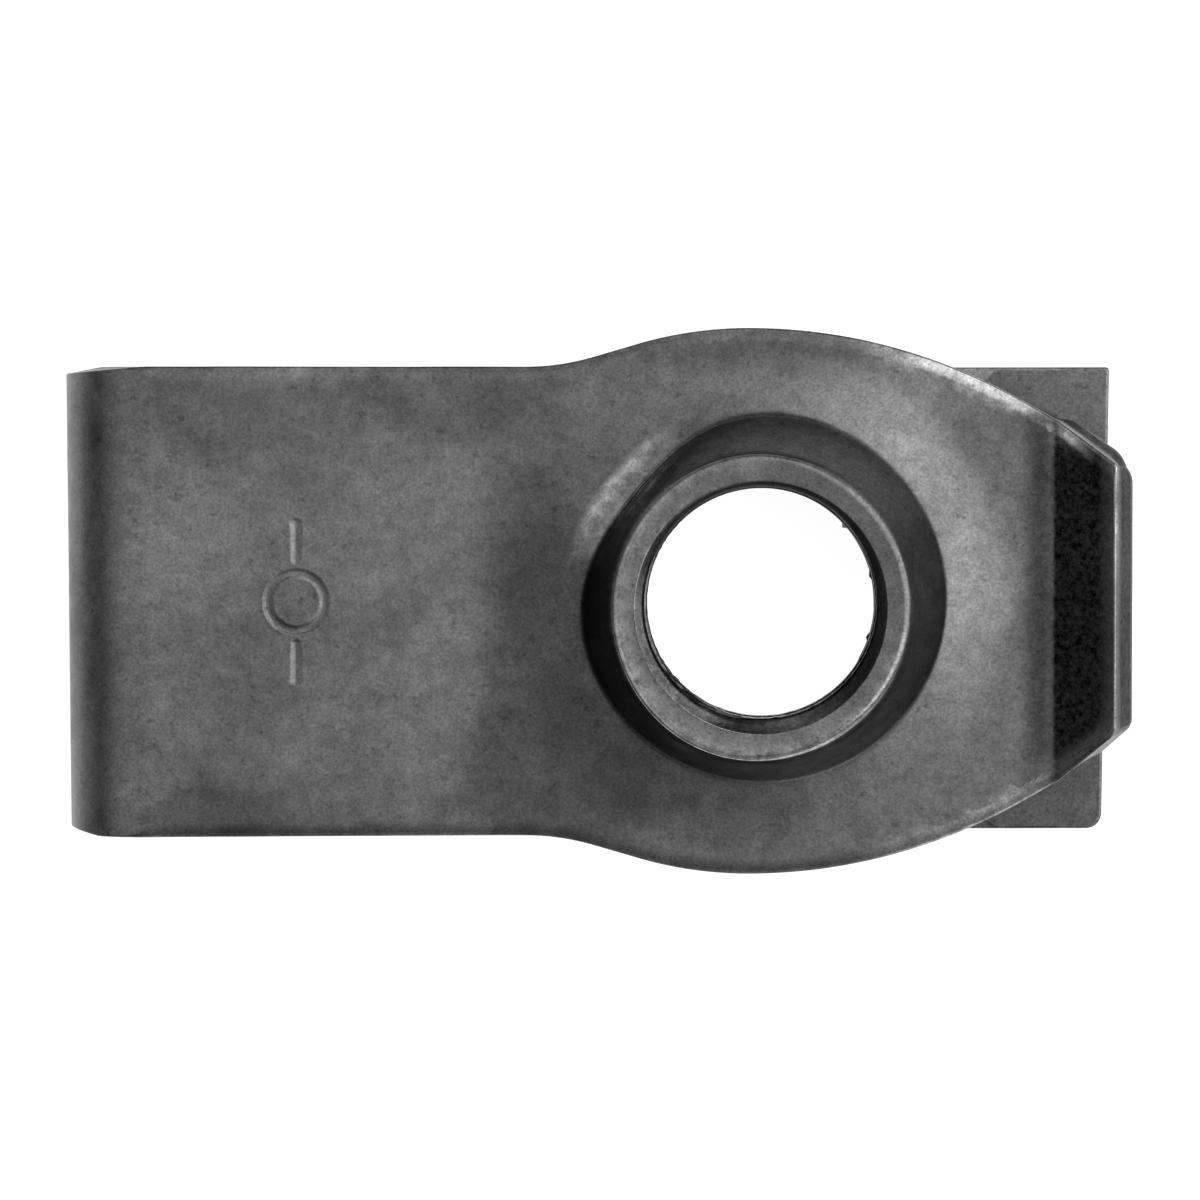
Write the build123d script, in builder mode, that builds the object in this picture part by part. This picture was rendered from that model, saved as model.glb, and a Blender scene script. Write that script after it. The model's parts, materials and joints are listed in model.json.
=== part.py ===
from build123d import *
import os
from math import asin, atan2, cos, degrees, hypot, radians, sin, tan

# U-nut for an M8 x 1.25 screw: one strip of spring steel, drawn up into a tapped barrel and
# folded over so that it clips on the edge of a panel. Millimetres.
#
# Frame: the origin is on the thread's axis, in the plane of the lower leg's outer face, which
# the nut rests on. +Z runs up through the lower leg and the barrel, +X points from the fold
# towards the open mouth, and +Y across the strip.

# ---------------------------------------------------------------- driving dimensions

sheet = 1.1  # thickness of the strip
strip_width = 14.0  # the lower leg, the fold and the arm

# screw, M8 x 1.25, which sizes both holes
screw_radius = 4.0
thread_depth = 0.625  # the bore is smaller than the screw by this much all round
screw_clearance = 0.75  # the hole in the lower leg is larger by this much all round

# fold and legs
fold_depth = 19.7  # thread axis to the inside of the fold: how far the panel's edge goes in
fold_gap = 2.8  # between the legs at the fold, twice the inner bend radius
slot_gap = 2.0  # between the legs at the level pad round the barrel
pad_behind_dome = 0.13  # level pad from the dome back to the bend where the arm slopes up
pad_bend_radius = 12.0  # of the easy bend in that corner, on the upper face

# lower leg
lower_reach = 10.65  # thread axis to the free end
lower_end_skew = 0.2  # the free end is sheared this much out of square
lower_corner_radius = 0.5  # on the -Y corner; the other is sharp

# ear round the barrel
ear_flare = 1.15  # the ear stands this far out of the strip on each side
ear_start = 7.0  # thread axis back to where the strip begins to widen
ear_widest = 0.35  # thread axis back to the widest place
neck_radius = 7.2  # hollow curve from the strip into the ear
shoulder_radius = 11.8  # round curve from the neck to the widest place
nose_radius = 16.5  # round curve from the widest place towards the lip

# lead-in lip at the ear's free end, bent up in two stages
pad_ahead_of_dome = 0.1  # from the dome to the start of the bend
lip_lead_radius = 3.5  # of the easy first stage, on the upper face
lip_lead_angle = 16.5
lip_crease_radius = 0.4  # of the sharp second stage, on the upper face
lip_angle = 34.0  # between the straight lip and the pad
lip_length = 2.0  # of the straight lip, along its slope
lip_taper = 33.0  # of each side, in the lip's own plane
lip_corner_radius = 0.45

# drawn and tapped barrel
barrel_height = 2.3  # rim above the pad's upper face
rim_wall = 0.985  # from the bore out to the rim's outer edge
rim_round = 0.25  # of that edge
mouth_bevel_width = 0.425  # inner bevel of the rim
mouth_bevel_depth = 0.25
root_flare = 0.79  # the barrel's outside spreads this far from the rim down to its root
root_fillet = 0.5
dome_width = 2.45  # of the shallow dome round the root, which the barrel was drawn up from
dome_height = 0.25  # of the dome at the root
entry_rise = 0.4  # the hole's entry is dished up this far under the ear
entry_radius = 0.6  # rounding of that entry

clear = 5.0  # how far cutting shapes run past the metal

# ---------------------------------------------------------------- worked-out places

bore_radius = screw_radius - thread_depth
clearance_radius = screw_radius + screw_clearance
mouth_radius = bore_radius + mouth_bevel_width
rim_radius = bore_radius + rim_wall
root_radius = rim_radius + root_flare
dome_radius = root_radius + dome_width

strip_half = strip_width / 2
ear_half = strip_half + ear_flare
fold_radius = fold_gap / 2 + sheet
fold_centre = -(fold_depth - fold_gap / 2)
pad_top = 2 * sheet + slot_gap
pad_under = pad_top - sheet
slot_middle = sheet + slot_gap / 2
pad_bend_end = -(dome_radius + pad_behind_dome)
rim_top = pad_top + barrel_height

# The arm's upper face lies on the line that touches both the fold's outer circle and the
# circle of the bend in front of the pad, which has the line under it.
centres_run = pad_bend_end - fold_centre
centres_rise = pad_top + pad_bend_radius - fold_radius
arm_slope = degrees(
    asin((fold_radius + pad_bend_radius) / hypot(centres_run, centres_rise))
    - atan2(centres_rise, centres_run)
)
arm_end = (
    pad_bend_end - pad_bend_radius * sin(radians(arm_slope)),
    pad_top + pad_bend_radius * (1 - cos(radians(arm_slope))),
)

# Each side of the ear turns out on the neck and back on the shoulder by the same angle, with
# a straight flank between them that touches both.
ear_run = ear_start - ear_widest
both_radii = neck_radius + shoulder_radius
flank_length = (ear_run**2 + (both_radii - ear_flare) ** 2 - both_radii**2) ** 0.5
neck_angle = degrees(
    atan2(ear_run, both_radii - ear_flare) - atan2(flank_length, both_radii)
)

far_left = fold_centre - fold_radius - clear
far_right = lower_reach + lip_length + clear
far_side = ear_half + clear

# ---------------------------------------------------------------- the nut

with BuildPart() as u_nut:
    # The folded strip, as wide as the ear: its outer face from the lower leg's free end round
    # the fold to the lip's crease, thickened inwards.
    with BuildSketch(Plane.XZ):
        with BuildLine():
            lower_leg = Line((lower_reach, 0), (fold_centre, 0))
            fold = JernArc(lower_leg @ 1, lower_leg % 1, fold_radius, -(180 + arm_slope))
            arm = Line(fold @ 1, arm_end)
            pad_bend = JernArc(arm @ 1, arm % 1, pad_bend_radius, arm_slope)
            pad = Line(pad_bend @ 1, (dome_radius + pad_ahead_of_dome, pad_top))
            lip_lead = JernArc(pad @ 1, pad % 1, lip_lead_radius, lip_lead_angle)
            lip_crease = JernArc(
                lip_lead @ 1, lip_lead % 1, lip_crease_radius, lip_angle - lip_lead_angle
            )
            offset(amount=sheet, side=Side.RIGHT)
        make_face()
    extrude(amount=ear_half, both=True)
    crease_end = lip_crease @ 1  # X along, Y up

    # The drawn barrel on its dome, turned about the thread's axis in place of the flat pad.
    with BuildSketch(Plane.XY.offset(slot_middle)):
        Circle(dome_radius)
    extrude(amount=slot_gap / 2 + sheet + clear, mode=Mode.SUBTRACT)

    with BuildSketch(Plane.XZ) as barrel_section:
        with BuildLine():
            root = (root_radius, pad_top + dome_height)
            entry = (bore_radius, pad_under + entry_rise)
            TangentArc((dome_radius, pad_top), root, tangent=(-1, 0))
            Polyline(
                root,
                (rim_radius, rim_top),
                (mouth_radius, rim_top),
                (bore_radius, rim_top - mouth_bevel_depth),
                entry,
            )
            TangentArc((dome_radius, pad_under), entry, tangent=(-1, 0))
            Line((dome_radius, pad_under), (dome_radius, pad_top))
        make_face()
        rim_corner = barrel_section.vertices().group_by(Axis.Y)[-1].sort_by(Axis.X)[-1]
        fillet(rim_corner, radius=rim_round)
        fillet(barrel_section.vertices().sort_by_distance(root)[0], radius=root_fillet)
        fillet(barrel_section.vertices().sort_by_distance(entry)[0], radius=entry_radius)
    revolve(axis=Axis.Z)

    # The ear's outline from above: what was blanked off beside one edge, and its mirror.
    with BuildSketch(Plane.XY.offset(slot_middle)):
        with BuildLine():
            strip_edge = Line((far_left, strip_half), (-ear_start, strip_half))
            neck = JernArc(strip_edge @ 1, strip_edge % 1, neck_radius, neck_angle)
            flank = PolarLine(neck @ 1, flank_length, direction=neck % 1)
            shoulder = JernArc(flank @ 1, flank % 1, shoulder_radius, -neck_angle)
            nose_turn = degrees(asin((crease_end.X + ear_widest) / nose_radius))
            nose = JernArc(shoulder @ 1, shoulder % 1, nose_radius, -nose_turn)
            crease_half = (nose @ 1).Y
            Polyline(
                nose @ 1,
                (far_right, crease_half),
                (far_right, far_side),
                (far_left, far_side),
                (far_left, strip_half),
            )
        make_face()
        mirror(about=Plane.XZ)
    extrude(amount=rim_top - slot_middle + clear, mode=Mode.SUBTRACT)

    # The lower leg's outline, in the same way, with its skewed end and its one round corner.
    with BuildSketch(Plane.XY.offset(slot_middle)) as lower_offcut:
        with BuildLine():
            round_corner = (lower_reach - lower_end_skew, -strip_half)
            Polyline(
                (far_left, -strip_half),
                round_corner,
                (lower_reach, strip_half),
                (far_left, strip_half),
                (far_left, far_side),
                (far_right, far_side),
                (far_right, -far_side),
                (far_left, -far_side),
                close=True,
            )
        make_face()
        fillet(
            lower_offcut.vertices().sort_by_distance(round_corner)[0],
            radius=lower_corner_radius,
        )
    extrude(amount=-slot_middle - clear, mode=Mode.SUBTRACT)

    # The straight lip, on the slope that the crease ends with.
    lip_plane = Plane(
        origin=(crease_end.X, 0, crease_end.Y),
        x_dir=(cos(radians(lip_angle)), 0, sin(radians(lip_angle))),
        z_dir=(-sin(radians(lip_angle)), 0, cos(radians(lip_angle))),
    )
    with BuildSketch(lip_plane) as lip:
        lip_end_half = crease_half - lip_length * tan(radians(lip_taper))
        with BuildLine():
            Polyline(
                (0, -crease_half),
                (lip_length, -lip_end_half),
                (lip_length, lip_end_half),
                (0, crease_half),
                close=True,
            )
        make_face()
        fillet(lip.vertices().group_by(Axis.X)[-1], radius=lip_corner_radius)
    extrude(amount=-sheet)

    # The screw's clearance hole in the lower leg.
    with BuildSketch():
        Circle(clearance_radius)
    extrude(amount=slot_middle, mode=Mode.SUBTRACT)

u_nut.part.label = "u_nut"
os.makedirs("parts", exist_ok=True)
export_step(u_nut.part, "parts/u_nut.step")
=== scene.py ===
import json
from math import asin, atan2, cos, hypot, pi, radians, sin, sqrt, tan

import bmesh
import bpy
import numpy as np
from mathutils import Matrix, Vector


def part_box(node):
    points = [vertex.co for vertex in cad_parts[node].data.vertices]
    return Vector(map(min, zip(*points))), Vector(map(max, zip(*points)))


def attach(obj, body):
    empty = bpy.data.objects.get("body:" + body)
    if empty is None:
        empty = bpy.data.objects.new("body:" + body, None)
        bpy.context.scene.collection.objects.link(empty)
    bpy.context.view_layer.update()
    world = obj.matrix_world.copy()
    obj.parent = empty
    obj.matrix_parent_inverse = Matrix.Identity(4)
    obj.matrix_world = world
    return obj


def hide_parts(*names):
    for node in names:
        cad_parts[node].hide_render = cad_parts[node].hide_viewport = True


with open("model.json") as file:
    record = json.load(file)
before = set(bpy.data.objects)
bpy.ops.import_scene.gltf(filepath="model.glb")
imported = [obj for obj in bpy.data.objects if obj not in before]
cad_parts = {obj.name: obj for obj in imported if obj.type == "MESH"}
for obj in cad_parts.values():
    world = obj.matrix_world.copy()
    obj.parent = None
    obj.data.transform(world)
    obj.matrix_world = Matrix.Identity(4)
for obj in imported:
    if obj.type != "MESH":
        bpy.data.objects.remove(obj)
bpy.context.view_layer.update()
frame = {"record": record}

# The U-nut as one strip of spring steel, worked out as it is made: a flat blank with two
# coordinates, s along its outer face from the lower leg's free end and v across it, is bent
# into the side view, and the barrel is drawn up out of it. Lengths are in millimetres.

MM = 0.001

# ---------------------------------------------------------------- sizes that the frame gives

MOUNTS = {mount["name"]: mount for mount in frame["record"]["mounts"]}
NUT_LOW, NUT_HIGH = (np.array(corner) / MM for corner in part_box("u_nut"))
SHEET = MOUNTS["screw_clearance"]["dims"]["length_mm"]
CLEARANCE_RADIUS = MOUNTS["screw_clearance"]["dims"]["r_mm"]
BORE_RADIUS = MOUNTS["screw_thread"]["dims"]["r_mm"]
PAD_TOP = 2 * MOUNTS["panel_slot"]["pos_m"][2] / MM
PAD_UNDER = PAD_TOP - SHEET
EAR_HALF = NUT_HIGH[1]
RIM_TOP = NUT_HIGH[2]

# ---------------------------------------------------------------- sizes of the folded strip

STRIP_HALF = 7.0
LOWER_REACH = 10.65  # thread axis to the lower leg's free end
LOWER_SKEW = 0.2  # that end is sheared this much out of square
FOLD_RADIUS = 1.4 + SHEET
FOLD_CENTRE = NUT_LOW[0] + FOLD_RADIUS
FOLD_PINCH = 0.2  # bending a strip narrows its outer face this much on each side
PINCH_SHORT = 0.4  # and on the -Y side the narrowing starts this share as far from the end
FOLD_SLANT = 0.12  # the fold isn't quite square to the strip
SLANT_START, SLANT_RUN = -15.0, 5.8  # where the slant comes in, and over how far
PAD_BEND_RADIUS = 12.0

# lead-in lip
LEAD_RADIUS, LEAD_ANGLE = 3.5, radians(16.5)  # easy first stage of its bend
CREASE_RADIUS, LIP_ANGLE = 0.4, radians(34.0)  # sharp second stage
LIP_LENGTH = 2.0
LIP_TAPER = radians(33.0)
LIP_DRAG = 0.24  # on the -Y side the bend dragged the inner face in by this much
LIP_DRAG_ENDS = 0.15  # and by this much more at the crease and at the free end
OUTER_DRAG = 0.17  # there, the outer face is in by this much at the free end
INNER_SPREAD = 0.1  # and on the +Y side the inner face is out by this much

# ear round the barrel
EAR_START = 7.0
EAR_WIDEST = 0.35
NECK_RADIUS = 7.2
SHOULDER_RADIUS = 11.8
NOSE_RADIUS = 16.5

# blanked edges: rounded over on the outer face, sharp on the inner one
ROLL_WIDTH = 0.45
ROLL_DEPTH = 0.13
ROLL_TURN = radians(50)  # of the arc that is flattened into the roll's section
FOLD_ROLL, LIP_ROLL = 0.12, 0.35  # share of the width left at the fold, and on the lip's -Y side
END_ROLL = 0.07  # its width on the two free ends
BREAK_WIDTH = 0.05  # of the small break on a sharp edge, and its depth
BREAK_DEPTH = 0.035

# ---------------------------------------------------------------- sizes of the barrel

THREAD_RADIUS = 4.0
THREAD_PITCH = 1.25
RIM_RADIUS = BORE_RADIUS + 0.985
RIM_ROUND = 0.27  # of its outer edge
RIM_UNDER = RIM_TOP - 0.3  # up here the root's shift has died out and the rim's is whole
MOUTH_RADIUS = BORE_RADIUS + 0.35
MOUTH_DEPTH = 0.34  # from the rim down the mouth's bevel to the bore
MOUTH_DROP = 0.03  # the rim falls this much towards its mouth
MOUTH_ROUND = 0.07
ROOT_RADIUS = RIM_RADIUS + 1.12
ROOT_FILLET = 0.3
ENTRY_RISE = 0.4  # the hole's entry is dished up this much under the ear
ENTRY_ROUND = 0.6

# shallow dome that the barrel was drawn up from, and the level pad round it
DOME_RADIUS = 7.6
DOME_HEIGHT = 0.32
DOME_POWER = 1.6  # 2 would be a parabola
ROOT_TOP = PAD_TOP + DOME_HEIGHT
PAD_BACK = -(DOME_RADIUS + 0.13)
PAD_FRONT = DOME_RADIUS + 0.1
TURNED_RADIUS = 6.5  # inside it nodes lie on circles; outside, they spread to a square

# the barrel isn't quite true
ROOT_SHIFT = np.array([0.06, 0.12])  # the punch sat this far off the thread's axis
RIM_SHIFT = np.array([-0.03, -0.12])  # the rim and its mouth were cut this far off that axis
# the rim's outer edge swells: direction, size and half angle
SWELLS = [(radians(250), 0.2, 0.7), (radians(95), 0.17, 0.55)]
# burrs that the tap left at the bottom of the bore: direction and height
BURRS = [(0.73, 0.13), (0.23, 0.1), (-0.32, 0.09), (-1.58, 0.07), (-1.92, 0.12), (2.9, 0.06)]
BURR_HALF = 0.035  # half angle of one
BURR_LEVEL, BURR_TALL = PAD_UNDER + 0.75, 0.12
TEAR = 0.055  # how unevenly the tap tore the wall, from peak to hollow

# towards one side the root lies further in, behind a low ridge with the draw's rings on it
RIDGE_WAY = np.array([-0.78, 0.62])
ROOT_PULL = 0.6
RIDGE_RADIUS = ROOT_RADIUS - 0.1
RIDGE_WIDTH, RIDGE_HEIGHT = 0.6, 0.3
RINGS_RADIUS, RINGS_WIDTH = 6.33, 0.22
RINGS_PITCH, RINGS_HEIGHT = 0.21, 0.005

# sides round the rim and the mouth where the painted highlights and painted shade differ
PLUS_Y, MINUS_Y, MINUS_X = (0, 1), (0, -1), (-1, 0)
DIM_RIM_WAY = np.array([0.87, 0.5])  # side on which the rim's outer edge has a weaker painted highlight and more painted shade, and the wall less
BEVEL_LIT_WAY = np.array([-0.1, -0.995])  # side on which the mouth's bevel has a painted highlight
MOUTH_SHADE_WAY = np.array([-0.82, -0.57])  # side on which the mouth and its bevel have painted shade
BEVEL_SHADE_WAY = np.array([0.77, -0.64])  # side on which the mouth's bevel has painted shade

# ---------------------------------------------------------------- painted darker places, painted highlights and wear

# places painted darker: x, y, half size along each, and how dark
DARKER_PLACES = [
    (-6.4, -0.4, 1.8, 4.6, 0.8),
    (-5.4, -5.4, 3.2, 2.2, 0.95),
    (-11.0, 6.0, 5.0, 1.8, 0.5),
    (-14.0, -6.5, 6.0, 1.0, 0.3),
    (0.0, 7.4, 5.0, 0.8, 0.6),
    (-20.05, 0.0, 0.3, 9.0, 0.6),
    (-13.0, -1.0, 4.5, 6.0, 0.42),
    (-17.3, 5.8, 2.2, 2.0, 0.38),
    (-17.3, -5.8, 2.2, 2.0, 0.32),
]

# and places painted brighter: painted highlights beside the barrel's +X side, on the ear's +Y edge and
# on the lip's +Y side, and rubbed places
HIGHLIGHTS_AND_WEAR = [
    (6.5, 1.8, 1.2, 4.0, 0.42),
    (5.4, 6.4, 1.6, 0.8, 0.8),
    (4.6, 4.2, 1.3, 1.2, 0.35),
    (0.5, -6.1, 2.5, 0.8, 0.2),
    (-18.4, 0.0, 0.6, 8.0, 0.5),
    (9.1, 4.8, 0.4, 0.35, 2.4),
]

# ---------------------------------------------------------------- ramps and bells


def ramp(value, start, end):
    """0 at start and short of it, 1 at end and past it, and in proportion between. It may run
    downwards, from a higher start to a lower end."""
    return np.clip((value - start) / (end - start), 0, 1)


def bell(value, centre, width):
    """1 at centre, falling off as the exponential of minus (distance / width) squared."""
    return np.exp(-(((value - centre) / width) ** 2))


# ---------------------------------------------------------------- the strip's side view

centres_run = PAD_BACK - FOLD_CENTRE
centres_rise = PAD_TOP + PAD_BEND_RADIUS - FOLD_RADIUS
ARM_SLOPE = asin(
    (FOLD_RADIUS + PAD_BEND_RADIUS) / hypot(centres_run, centres_rise)
) - atan2(centres_rise, centres_run)
ARM_LENGTH = (
    PAD_BACK
    - PAD_BEND_RADIUS * sin(ARM_SLOPE)
    - FOLD_CENTRE
    - FOLD_RADIUS * sin(ARM_SLOPE)
) / cos(ARM_SLOPE)

# each stretch of the outer face: its length and the angle it turns through, left turns positive
STRETCHES = np.array(
    [
        (LOWER_REACH - FOLD_CENTRE, 0.0),
        (FOLD_RADIUS * (pi + ARM_SLOPE), -(pi + ARM_SLOPE)),
        (ARM_LENGTH, 0.0),
        (PAD_BEND_RADIUS * ARM_SLOPE, ARM_SLOPE),
        (PAD_FRONT - PAD_BACK, 0.0),
        (LEAD_RADIUS * LEAD_ANGLE, LEAD_ANGLE),
        (CREASE_RADIUS * (LIP_ANGLE - LEAD_ANGLE), LIP_ANGLE - LEAD_ANGLE),
        (LIP_LENGTH, 0.0),
    ]
)
STARTS = np.concatenate([[0.0], np.cumsum(STRETCHES[:, 0])])
HEADINGS = pi + np.concatenate([[0.0], np.cumsum(STRETCHES[:, 1])])
S_FOLD, S_ARM, S_BEND, S_PAD, S_LEAD, S_CREASE, S_LIP, S_END = STARTS[1:]


def chord(run, heading, bend):
    """The step that a stretch makes: its length times sin(half the bend) / half the bend, along
    the heading half way through the bend."""
    step = run * np.sinc(bend / 2 / pi)
    return step * np.cos(heading + bend / 2), step * np.sin(heading + bend / 2)


STEPS = np.array(chord(STRETCHES[:, 0], HEADINGS[:-1], STRETCHES[:, 1]))
CORNERS_X = LOWER_REACH + np.concatenate([[0.0], np.cumsum(STEPS[0])])
CORNERS_Z = np.concatenate([[0.0], np.cumsum(STEPS[1])])
ARM_X, LIP_X = CORNERS_X[2], CORNERS_X[7]  # where the straight arm and the straight lip begin


def outer_line(s):
    """x, z and heading of the outer face at arc length s: the start of its stretch, plus the
    chord run from there."""
    k = np.clip(np.searchsorted(STARTS, s, side="right") - 1, 0, len(STRETCHES) - 1)
    run = s - STARTS[k]
    bend = STRETCHES[k, 1] / STRETCHES[k, 0] * run
    step_x, step_z = chord(run, HEADINGS[k], bend)
    return CORNERS_X[k] + step_x, CORNERS_Z[k] + step_z, HEADINGS[k] + bend


def folded(s, v, w):
    """Places blank point (s, v) at depth w under the outer face: the outer line's point, moved
    w to the right of its heading, which is into the metal. Near the fold it also leans along x
    in proportion to its distance from the +Y side."""
    x, z, heading = outer_line(s)
    x = x + w * np.sin(heading)
    lean = ramp(x, SLANT_START, SLANT_START - SLANT_RUN) ** 2 * FOLD_SLANT
    return np.stack(
        [x + lean * (STRIP_HALF - v) / 2 / STRIP_HALF, v, z - w * np.cos(heading)], -1
    )


def arm_s(x):
    """Arc length at which the straight arm passes over x."""
    return S_ARM + (x - ARM_X) / cos(ARM_SLOPE)


# ---------------------------------------------------------------- the strip's outline

ear_run = EAR_START - EAR_WIDEST
both_radii = NECK_RADIUS + SHOULDER_RADIUS
ear_flare = EAR_HALF - STRIP_HALF
FLANK_LENGTH = sqrt(ear_run**2 + (both_radii - ear_flare) ** 2 - both_radii**2)
NECK_ANGLE = atan2(ear_run, both_radii - ear_flare) - atan2(FLANK_LENGTH, both_radii)


def ear_side(x):
    """Half width of the upper leg over x: the strip's own, then arcs that are each a centre's
    offset plus or less the root of radius squared less x squared, joined by a straight flank."""
    neck_x = NECK_RADIUS * sin(NECK_ANGLE)
    flank_x = neck_x + FLANK_LENGTH * cos(NECK_ANGLE)
    along = x + EAR_START
    past = x + EAR_WIDEST
    neck = NECK_RADIUS - np.sqrt(NECK_RADIUS**2 - np.clip(along, 0, neck_x) ** 2)
    flank = NECK_RADIUS * (1 - cos(NECK_ANGLE)) + (along - neck_x) * tan(NECK_ANGLE)
    before, beyond = np.clip(past, -SHOULDER_RADIUS, 0), np.clip(past, 0, NOSE_RADIUS)
    shoulder = np.sqrt(SHOULDER_RADIUS**2 - before**2) - SHOULDER_RADIUS
    nose = np.sqrt(NOSE_RADIUS**2 - beyond**2) - NOSE_RADIUS
    return np.select(
        [along < neck_x, along < flank_x, past < 0],
        [STRIP_HALF + neck, STRIP_HALF + flank, EAR_HALF + shoulder],
        EAR_HALF + nose,
    )


CREASE_HALF = float(ear_side(LIP_X))


def taper(s):
    """How far the lip's sides have drawn in at s."""
    return np.clip(s - S_LIP, 0, None) * tan(LIP_TAPER)


def side_at(s, v_sign, on_outer):
    """Half width of the blank at s: the ear's outline up to the crease, then the lip's taper.
    The outer face is pinched in at the fold, further from the end on the +Y side than on the -Y
    one. The lip's two faces don't end alike: each is let in or out as its sizes say."""
    x = outer_line(s)[0]
    side = np.where(s > S_ARM, ear_side(np.minimum(x, LIP_X)), STRIP_HALF) - taper(s)
    reach = np.where(v_sign > 0, FOLD_RADIUS, PINCH_SHORT * FOLD_RADIUS)
    pinch = ramp(x, NUT_LOW[0] + reach, NUT_LOW[0])
    along_lip = ramp(s, S_LIP, S_END)
    dragged = LIP_DRAG + LIP_DRAG_ENDS * np.abs(2 * along_lip - 1)
    dragged = dragged * ramp(s, S_LEAD, S_LIP) ** 2
    on_minus = np.where(on_outer, OUTER_DRAG * along_lip, dragged)
    on_plus = np.where(on_outer, 0, -INNER_SPREAD * along_lip)
    return side - on_outer * FOLD_PINCH * pinch - np.where(v_sign < 0, on_minus, on_plus)


# Columns of nodes along the blank. Square blocks round the two holes and the stamped mark
# are left out of the plain grid and filled with rings.
HOLE_FROM, HOLE_TO = LOWER_REACH - 7.2, LOWER_REACH + 7.2
MARK_X, MARK_BLOCK = -13.8, 2.9
MARK_FROM, MARK_TO = arm_s(MARK_X - MARK_BLOCK), arm_s(MARK_X + MARK_BLOCK)


def crowded(start, end, count, to_end):
    """count steps from start to end that grow away from one of them: a node t of the way along
    is moved to 0.15 t + 0.85 t squared."""
    even_share = 0.15
    t = np.linspace(0, 1, count + 1)
    t = even_share * t + (1 - even_share) * t**2
    return end - (end - start) * t[::-1] if to_end else start + (end - start) * t


column_runs = [
    crowded(0, HOLE_FROM, 16, False),
    np.linspace(HOLE_FROM, HOLE_TO, 45),
    np.linspace(HOLE_TO, S_FOLD, 15),
    np.linspace(S_FOLD, S_ARM, 53),
    np.linspace(S_ARM, MARK_FROM, 5),
    np.linspace(MARK_FROM, MARK_TO, 27),
    np.linspace(MARK_TO, S_BEND, 7),
    np.linspace(S_BEND, S_PAD, 7),
    np.linspace(S_PAD, S_LEAD, 53),
    np.linspace(S_LEAD, S_CREASE, 11),
    np.linspace(S_CREASE, S_LIP, 6),
    crowded(S_LIP, S_END, 20, True),
]
COLUMNS = np.concatenate([column_runs[0]] + [run[1:] for run in column_runs[1:]])


def column(s):
    """Number of the column nearest to s."""
    return int(np.argmin(np.abs(COLUMNS - s)))


HOLE_START, HOLE_END = column(HOLE_FROM), column(HOLE_TO)
MARK_START, MARK_END = column(MARK_FROM), column(MARK_TO)
PAD_START, PAD_END = column(S_PAD), column(S_LEAD)
LAST = len(COLUMNS) - 1

# Rows of nodes across the blank, as shares of its half width, crowded towards both sides.
ROW_COUNT = 64
even = np.linspace(-1, 1, ROW_COUNT + 1)
ROWS = 0.25 * even + 0.75 * np.sin(even * pi / 2)


def corner_cut(along, across, size, power):
    """Rounds one corner of the outline. along and across are distances from its two sides.
    Within size of both, a node moves towards the inner corner of that square, so that square
    rings become rings of the power-th norm: power 2 is round and power 1 is a bevel."""
    x, y = size - along, size - across
    inside = (x > 0) & (y > 0)
    x, y = np.where(inside, x, 0.0), np.where(inside, y, 0.0)
    norm = (x**power + y**power) ** (1 / power)
    scale = np.where(norm > 0, np.maximum(x, y) / np.where(norm > 0, norm, 1), 1)
    return (
        np.where(inside, size - x * scale, along),
        np.where(inside, size - y * scale, across),
    )


def roll_width(s, v_sign):
    """Width of the rolled-over edge: narrow round the fold and on the lip's -Y side, which it
    eases into over a millimetre or so."""
    in_fold = ramp(np.minimum(s - S_FOLD, S_ARM - s), -0.36, 0.84)
    on_lip = np.where(v_sign < 0, ramp(s, S_LIP, S_LIP + 1.6), 0)
    return ROLL_WIDTH * (1 - (1 - FOLD_ROLL) * in_fold) * (1 - (1 - LIP_ROLL) * on_lip)


def break_width(s, v_sign):
    """Width of the small break on a sharp edge, the same all round."""
    return BREAK_WIDTH + 0 * s


def no_inset(s, v_sign):
    """Nothing taken off, for a ring on the outline itself."""
    return 0 * s


def outline_grid(side_inset, end_inset, corners, on_outer):
    """Blank coordinates of every node on one skin of the strip: the columns, held end_inset
    from both free ends, times the rows' shares of the half width less side_inset there. Each
    of the four corners is then cut, and the lower end skewed."""
    s = np.repeat(COLUMNS[:, None], ROW_COUNT + 1, 1)
    share = np.repeat(ROWS[None, :], LAST + 1, 0)
    s = np.clip(s, end_inset, S_END - end_inset)
    half = side_at(s, np.sign(share), on_outer) - side_inset(s, np.sign(share))
    v = share * half
    for at_lip, v_sign, size, power in corners:
        along = (S_END - s if at_lip else s) - end_inset
        across = half - v_sign * v
        along, across = corner_cut(along, across, size, power)
        s = S_END - end_inset - along if at_lip else end_inset + along
        v = v_sign * (half - across)
    skew = LOWER_SKEW * ramp(s, HOLE_FROM, 0)
    return s + skew * (1 - v / STRIP_HALF) / 2, v


# each corner: at the lip or not, which side, its size and the power of its curve
LOWER_CORNERS = [(False, 1, 0.1, 2), (False, -1, 0.5, 2)]
OUTER_CORNERS = LOWER_CORNERS + [(True, 1, 0.12, 2), (True, -1, 0.2, 2)]
INNER_CORNERS = LOWER_CORNERS + [(True, 1, 0.65, 2), (True, -1, 0.15, 2)]

OUTER_SKIN = outline_grid(roll_width, END_ROLL, OUTER_CORNERS, 1)
OUTER_EDGE = outline_grid(no_inset, 0, OUTER_CORNERS, 1)
INNER_EDGE = outline_grid(no_inset, 0, INNER_CORNERS, 0)
INNER_SKIN = outline_grid(break_width, BREAK_WIDTH, INNER_CORNERS, 0)

# ---------------------------------------------------------------- collecting the mesh

points, quads, polish, struck = [], [], [], []


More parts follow.
